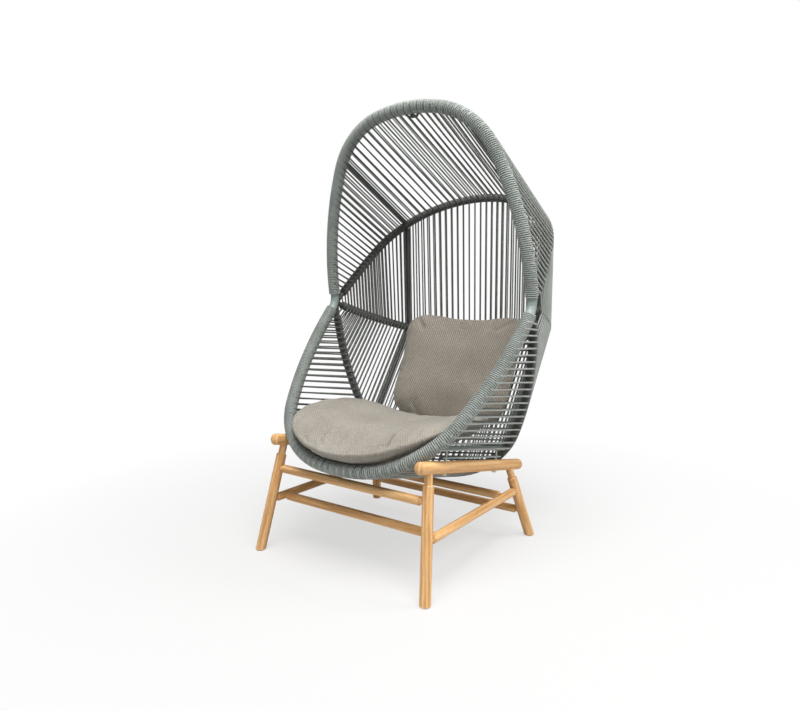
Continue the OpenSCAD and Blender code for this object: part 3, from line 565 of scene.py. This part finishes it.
def cushion_form(half_w, half_d, thick, square_by, curl, ear, low_ear):
    """Crowned closed form with a drawn-in edge: points (rings, around) and two poles."""
    tip = np.radians(-90 + 180 * np.arange(1, RINGS + 1) / (RINGS + 1))[:, None]
    a = np.radians(360 * np.arange(AROUND) / AROUND)[None]
    ears = np.where(a < math.pi, ear, low_ear)
    spread = np.cos(tip) ** 0.72 * (1 + ears * np.sin(2 * a) ** 2)
    x = spread * signed_pow(np.cos(a), square_by)
    y = spread * signed_pow(np.sin(a), square_by)
    z = signed_pow(np.sin(tip), 0.9) * thick / 2 + curl * x * x
    points = np.stack([half_w * x, half_d * y, z], -1).reshape(-1, 3)
    points = np.vstack([points, [[0, 0, -thick / 2], [0, 0, thick / 2]]])
    faces = []
    for k in range(RINGS - 1):
        for i in range(AROUND):
            j = (i + 1) % AROUND
            faces.append([k * AROUND + i, k * AROUND + j, (k + 1) * AROUND + j,
                          (k + 1) * AROUND + i])
    low, high, last = RINGS * AROUND, RINGS * AROUND + 1, (RINGS - 1) * AROUND
    for i in range(AROUND):
        j = (i + 1) % AROUND
        faces += [[low, j, i], [high, last + i, last + j]]
    return points, faces


def mesh_arrays(mesh):
    points = np.zeros(len(mesh.vertices) * 3)
    mesh.vertices.foreach_get("co", points)
    return points.reshape(-1, 3), [list(p.vertices) for p in mesh.polygons]


def with_modifier(points, faces, kind, settle=None, frames=1, **settings):
    """Points and faces of a mesh after a modifier, set up further by settle, has run."""
    mesh = bpy.data.meshes.new("work")
    mesh.from_pydata(points.tolist(), [], faces)
    work = bpy.data.objects.new("work", mesh)
    scene.collection.objects.link(work)
    modifier = work.modifiers.new("work", kind)
    for key, value in settings.items():
        setattr(modifier, key, value)
    if settle:
        settle(work, modifier)
    for at in range(1, frames + 1):
        scene.frame_set(at)
    made = bpy.data.meshes.new_from_object(
        work.evaluated_get(bpy.context.evaluated_depsgraph_get()))
    out = mesh_arrays(made)
    bpy.data.objects.remove(work)
    bpy.data.meshes.remove(mesh)
    bpy.data.meshes.remove(made)
    scene.frame_set(1)
    return out


VOXEL = 0.006
SEAM_HALF = 0.004
PRESSURE, CLOTH_FRAMES = 4, 20


def inflated(sizes, inset, cap, extra):
    """The cushion's form, made slimmer by inset, then blown up as cloth that is held at its
    seam and is larger than the form by extra, which makes its folds. No point moves further
    than cap."""
    half_w, half_d, thick, square_by, curl, ear, low_ear = sizes
    form = cushion_form(half_w - 0.002, half_d - 0.002, thick - 2 * inset, square_by, curl,
                        ear, low_ear)
    points, faces = with_modifier(*form, "REMESH", mode="VOXEL", voxel_size=VOXEL)

    def as_cloth(work, modifier):
        rise = points[:, 2] - curl * (points[:, 0] / half_w) ** 2
        seam = work.vertex_groups.new(name="seam")
        seam.add(np.flatnonzero(np.abs(rise) < SEAM_HALF).tolist(), 1.0, "REPLACE")
        cloth = modifier.settings
        cloth.vertex_group_mass = "seam"
        cloth.quality = 5
        cloth.mass = 0.3
        cloth.tension_stiffness = cloth.compression_stiffness = 12
        cloth.shear_stiffness = 4
        cloth.bending_stiffness = 0.4
        cloth.use_pressure = True
        cloth.uniform_pressure_force = PRESSURE
        cloth.shrink_min = -extra
        cloth.effector_weights.gravity = 0

    blown, _ = with_modifier(points, faces, "CLOTH", settle=as_cloth,
                             frames=CLOTH_FRAMES)
    moved = blown - points
    far = np.maximum(np.linalg.norm(moved, axis=1, keepdims=True), 1e-9)
    moved *= cap * np.tanh(far / cap) / far
    return points, moved, faces


def smooth_step(v):
    v = np.clip(v, 0, 1)
    return v * v * (3 - 2 * v)


def off_line(points, start, end):
    """Distance of points from a line in the cushion's plane, which side they are on and
    how far along the line they lie."""
    start, end = np.array(start), np.array(end)
    line = end - start
    t = np.clip((points[:, :2] - start) @ line / (line @ line), 0, 1)
    off = points[:, :2] - start - t[:, None] * line
    side = np.sign(line[0] * off[:, 1] - line[1] * off[:, 0])
    return np.linalg.norm(off, axis=1), side, t


def crease(points, top, start, end, width, depth):
    """Presses a soft crease into a cushion's top, with a lip that is higher on its right."""
    off, side, t = off_line(points, start, end)
    fade = smooth_step(t / 0.25) * smooth_step((1 - t) / 0.25)
    lip = 0.5 - 0.35 * side
    press = (np.exp(-(off / width) ** 2)
             - lip * np.exp(-((off - 2.2 * width) / (1.5 * width)) ** 2))
    points[:, 2] -= depth * press * fade * top


# Folds as start, end, width and depth, in metres in the cushion's own plane.
SEAT_FOLDS = [((-0.052, -0.280), (0.040, 0.215), 0.013, 0.0150),
              ((-0.096, -0.246), (-0.074, -0.150), 0.006, 0.0085),
              ((-0.006, -0.274), (-0.017, -0.190), 0.006, 0.0075),
              ((0.175, -0.260), (0.142, -0.140), 0.006, 0.0110),
              ((0.096, -0.272), (0.168, -0.244), 0.006, 0.0080),
              ((-0.094, -0.250), (-0.052, -0.282), 0.006, 0.0065),
              ((-0.152, -0.260), (-0.100, -0.296), 0.006, 0.0080)]
BACK_FOLDS = [((-0.16, 0.135), (-0.230, 0.200), 0.010, 0.0055),
              ((0.10, 0.145), (0.13, 0.195), 0.009, 0.0045),
              ((0.14, 0.140), (0.220, 0.200), 0.011, 0.0055),
              ((-0.02, 0.155), (-0.03, 0.198), 0.009, 0.0040)]


def cushion(name, sizes, dip, folds, turn, place, material, node_names, body):
    """A cushion over its two CAD nodes. sizes are half width, half depth, thickness,
    squareness, curl, ear and low ear. dip is (x, y, radius, depth) of its hollow or None."""
    points, moved, faces = inflated(sizes, inset=0.009, cap=0.014, extra=0.02)
    points = points + moved
    points, faces = with_modifier(points, faces, "SUBSURF", levels=1)
    half_w, _, thick, _, curl, _, _ = sizes
    rise = points[:, 2] - curl * (points[:, 0] / half_w) ** 2
    top = smooth_step(rise / (0.14 * thick))
    if dip:
        off = np.linalg.norm(points[:, :2] - np.array(dip[:2]), axis=1)
        points[:, 2] -= dip[3] * np.exp(-(off / dip[2]) ** 2) * top
    for start, end, width, depth in folds:
        crease(points, top, start, end, width, depth)
    c, s = math.cos(turn), math.sin(turn)
    x, y, z = points.T
    points = np.stack([x, c * y - s * z, s * y + c * z], 1) + np.array(place)
    piece = new_object(name, points, faces, body=body)
    piece.data.materials.append(material)
    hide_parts(*node_names)
    return piece


seat_cushion = cushion("seat_cushion_pad", (0.312, 0.3045, 0.1008, 0.88, 0.083, 0.04, 0.04),
                       (-0.06, 0.03, 0.15, 0.009), SEAT_FOLDS, math.radians(-1.3),
                       (0, JOINT[1] - 0.199, 0.382), SEAT_WEAVE,
                       ["seat_cushion_cover", "seat_cushion_core"], "seat_cushion")
back_cushion = cushion("back_cushion_pad", (0.2555, 0.214, 0.1064, 0.66, 0.031, 0.185, 0.09),
                       None, BACK_FOLDS, math.radians(64),
                       (0, JOINT[1] + 0.2374, 0.5594), BACK_WEAVE,
                       ["back_cushion_cover", "back_cushion_core"], "back_cushion")


# ---------------------------------------------------------------- floor and light
def add_floor():
    size = 14
    verts = np.array([[-size, -size, 0], [size, -size, 0], [size, size, 0],
                      [-size, size, 0]], float)
    mesh = bpy.data.meshes.new("floor")
    mesh.from_pydata(verts.tolist(), [], [[0, 1, 2, 3]])
    floor = bpy.data.objects.new("floor", mesh)
    scene.collection.objects.link(floor)
    material = bpy.data.materials.new("floor")
    material.use_nodes = True
    tree = material.node_tree
    tree.nodes.clear()
    matt = node(tree, "BsdfDiffuse", {"Color": (0.62, 0.62, 0.61, 1)})
    white = node(tree, "Emission", {"Color": (1, 1, 1, 1), "Strength": 1.0})
    at = object_coords(tree)
    far = node(tree, "VectorMath", {0: at}, operation="LENGTH")
    fade = node(tree, "MapRange", {"Value": far.outputs["Value"], "From Min": 0.6,
                                   "From Max": 1.7, "To Min": 0.62, "To Max": 1.0})
    ray = node(tree, "LightPath")
    seen = node(tree, "Math", {0: fade.outputs[0], 1: ray.outputs["Is Camera Ray"]},
                operation="MULTIPLY")
    mixed = node(tree, "MixShader", {0: seen.outputs[0], 1: matt.outputs[0],
                                     2: white.outputs[0]})
    out = node(tree, "OutputMaterial")
    tree.links.new(mixed.outputs[0], out.inputs["Surface"])
    floor.data.materials.append(material)


def add_world():
    world = bpy.data.worlds.new("world")
    scene.world = world
    world.use_nodes = True
    tree = world.node_tree
    tree.nodes.clear()
    ray = node(tree, "LightPath")
    seen = node(tree, "Background", {"Color": (1, 1, 1, 1), "Strength": 1.0})
    light = node(tree, "Background", {"Color": (1, 1, 1, 1), "Strength": 0.27})
    mixed = node(tree, "MixShader", {0: ray.outputs["Is Camera Ray"],
                                     1: light.outputs[0], 2: seen.outputs[0]})
    out = node(tree, "OutputWorld")
    tree.links.new(mixed.outputs[0], out.inputs["Surface"])


def add_lamp(name, place, aim, size, power):
    lamp = bpy.data.lights.new(name, "AREA")
    lamp.shape = "DISK"
    lamp.size = size
    lamp.energy = power
    piece = bpy.data.objects.new(name, lamp)
    piece.location = place
    piece.rotation_euler = (Vector(aim) - Vector(place)).to_track_quat("-Z", "Y").to_euler()
    scene.collection.objects.link(piece)


add_floor()
add_world()
add_lamp("key", (0.9, -1.1, 4.2), (0, -0.1, 0.6), 3.0, 215)
add_lamp("fill", (-2.6, -2.4, 2.6), (0, 0, 0.7), 2.2, 10)
add_lamp("rear", (2.6, 1.6, 2.6), (0, 0, 0.8), 2.0, 60)
